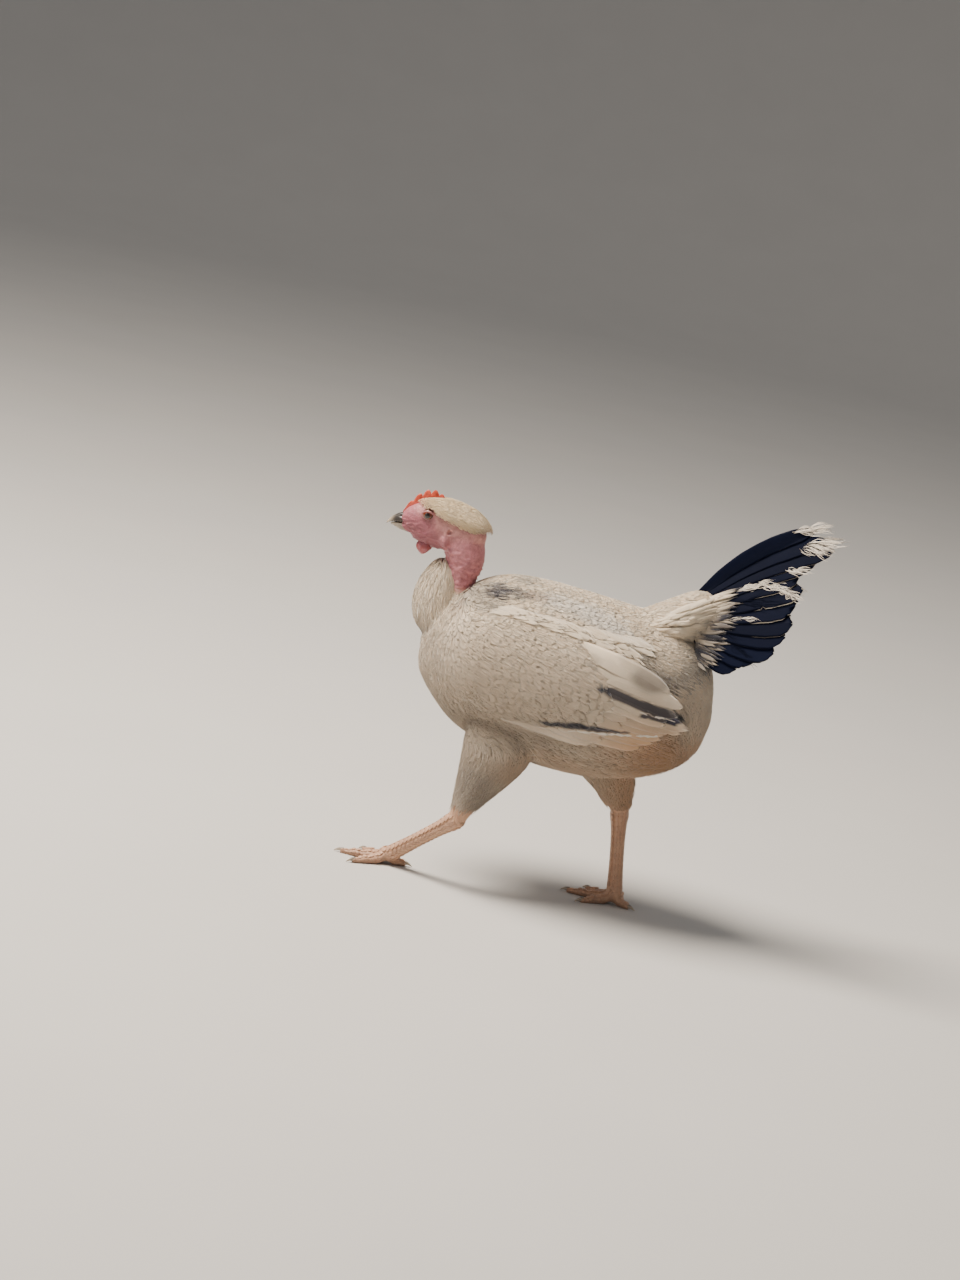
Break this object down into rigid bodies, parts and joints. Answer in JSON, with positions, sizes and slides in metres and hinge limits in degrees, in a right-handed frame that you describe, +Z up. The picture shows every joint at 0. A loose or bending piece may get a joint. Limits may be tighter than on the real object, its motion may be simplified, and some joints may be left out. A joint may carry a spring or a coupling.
{
  "type": "naked-neck pullet",
  "caption": "Life-size still model of a young naked-neck hen walking: white plumage, bare red neck and face, chest tuft, folded wings and a raised black tail.",
  "frame": {"origin": "on the floor, under the middle of the bird's length and width", "axes": "-X is ahead, the way the bird faces; -Y is its left side; +Z is up"},
  "size_m": [0.3699, 0.1436, 0.3582],
  "materials": {
    "white_plumage": "soft matt plumage, cream white",
    "tail_feathers": "blue-black feathers with a faint sheen",
    "bare_skin": "bare pink-red skin, finely wrinkled",
    "comb_flesh": "red fleshy skin, finely grained",
    "horn": "pale horn, half gloss",
    "leg_scales": "tan scaled skin",
    "eye": "wet brown-red eye"
  },
  "bodies": {
    "root": {"head": "bare_skin", "eye_left": "eye", "eye_right": "eye", "bill_upper": "horn", "bill_lower": "horn", "comb": "comb_flesh", "wattle_left": "comb_flesh", "wattle_right": "comb_flesh", "earlobe_left": "comb_flesh", "earlobe_right": "comb_flesh", "crown_cap": "white_plumage", "neck": "bare_skin", "bib": "white_plumage", "torso": "white_plumage", "wing_left": "white_plumage", "wing_right": "white_plumage", "tail": "tail_feathers", "thigh_left": "white_plumage", "thigh_right": "white_plumage", "shank_left": "leg_scales", "shank_right": "leg_scales", "toe_middle_left": "leg_scales", "toe_inner_left": "leg_scales", "toe_outer_left": "leg_scales", "toe_hind_left": "leg_scales", "toe_middle_right": "leg_scales", "toe_inner_right": "leg_scales", "toe_outer_right": "leg_scales", "toe_hind_right": "leg_scales", "claw_middle_left": "horn", "claw_inner_left": "horn", "claw_outer_left": "horn", "claw_hind_left": "horn", "claw_middle_right": "horn", "claw_inner_right": "horn", "claw_outer_right": "horn", "claw_hind_right": "horn"}
  },
  "joints": []
}
